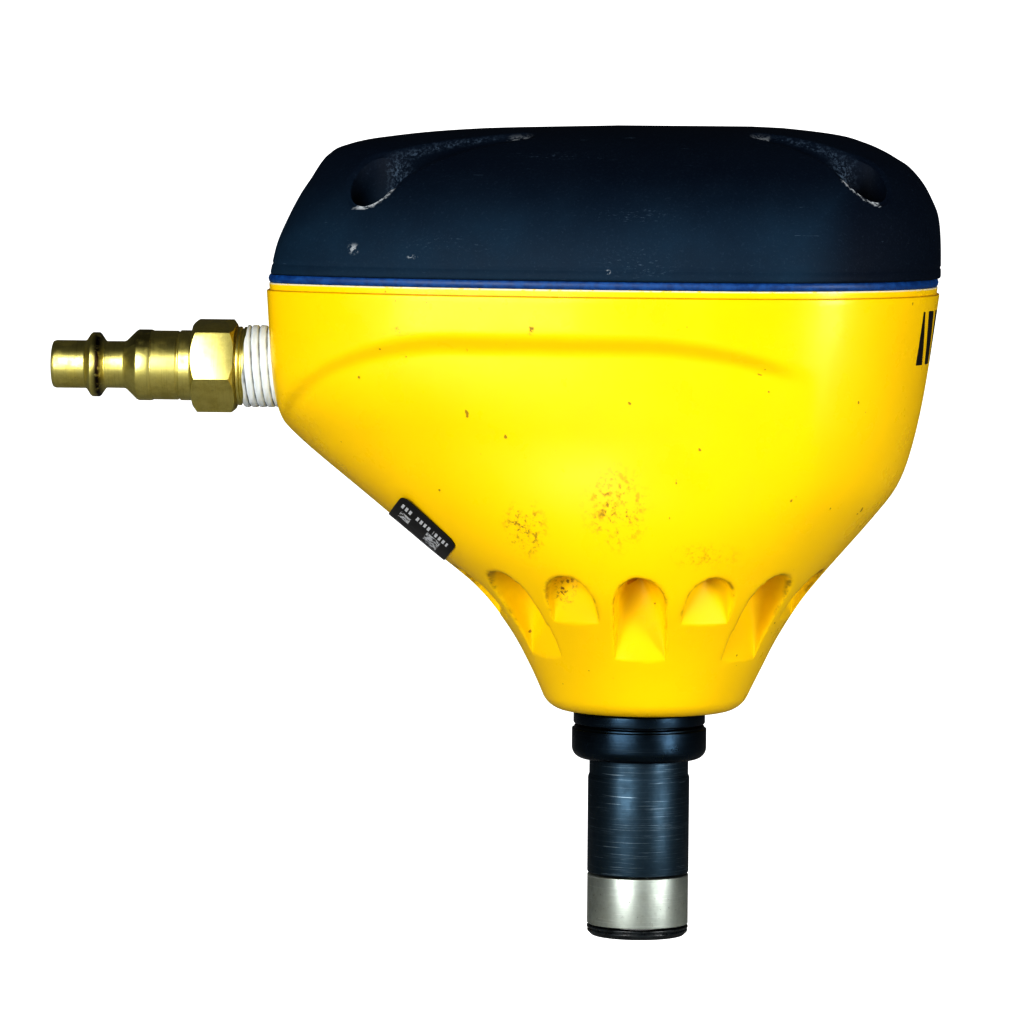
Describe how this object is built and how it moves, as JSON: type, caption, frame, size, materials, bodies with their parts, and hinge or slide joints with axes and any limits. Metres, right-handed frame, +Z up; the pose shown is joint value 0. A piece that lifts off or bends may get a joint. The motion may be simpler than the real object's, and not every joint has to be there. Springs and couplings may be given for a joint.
{
  "type": "palm nailer",
  "caption": "Palm-held air hammer: oval painted body under a domed rubber palm pad, fluted neck, slim steel nose that holds and drives a nail, and a side air plug.",
  "frame": {"origin": "centre of the driver's striking face at rest, 7 mm inside the open end of the nose", "axes": "+Z up along the driver and nose axis towards the palm pad, -X towards the air inlet, Y across the tool"},
  "size_m": [0.1529, 0.073, 0.1393],
  "materials": {
    "yellow_paint": "gloss",
    "blue_gasket": "matte",
    "black_rubber": "matte",
    "cast_aluminium": "matte",
    "black_oxide_steel": "satin",
    "bare_steel": "satin",
    "magnet_plating": "satin",
    "cylinder_steel": "satin",
    "seal_rubber": "matte",
    "bumper_rubber": "matte",
    "bush_bronze": "satin",
    "white_polymer": "satin",
    "black_polymer": "satin",
    "plug_brass": "satin",
    "thread_tape": "matte",
    "label_vinyl": "satin"
  },
  "bodies": {
    "tool_body": {"housing": "yellow_paint", "cap_gasket": "blue_gasket", "palm_pad": "black_rubber", "cap_casting": "cast_aluminium", "cap_screw_1": "black_oxide_steel", "cap_screw_2": "black_oxide_steel", "cap_screw_3": "black_oxide_steel", "cap_screw_4": "black_oxide_steel", "cap_washer_1": "bare_steel", "cap_washer_2": "bare_steel", "cap_washer_3": "bare_steel", "cap_washer_4": "bare_steel", "nose_end_ring": "seal_rubber", "nose_tip": "bare_steel", "nose_magnet": "magnet_plating", "nose_barrel": "black_oxide_steel", "nose_collar": "black_oxide_steel", "nose_lock_ring": "black_oxide_steel", "cylinder": "cylinder_steel", "cylinder_seal_lower": "seal_rubber", "cylinder_seal_upper": "seal_rubber", "bumper": "bumper_rubber", "driver_guide_bush": "bush_bronze", "valve_seat": "cast_aluminium", "valve_cap": "black_polymer", "valve_cushion": "seal_rubber", "air_plug": "plug_brass", "thread_tape": "thread_tape", "inlet_screen": "bare_steel", "rating_label": "label_vinyl"},
    "driver": {"driver_piston": "bare_steel", "piston_seal": "seal_rubber"},
    "valve": {"valve_plate": "white_polymer"}
  },
  "joints": [
    {"name": "driver_slide", "type": "slide", "parent": "tool_body", "child": "driver", "axis": [0, 0, 1], "range_m": [-0.006, 0.016]},
    {"name": "valve_slide", "type": "slide", "parent": "tool_body", "child": "valve", "axis": [0, 0, 1], "range_m": [0, 0.0009]}
  ]
}
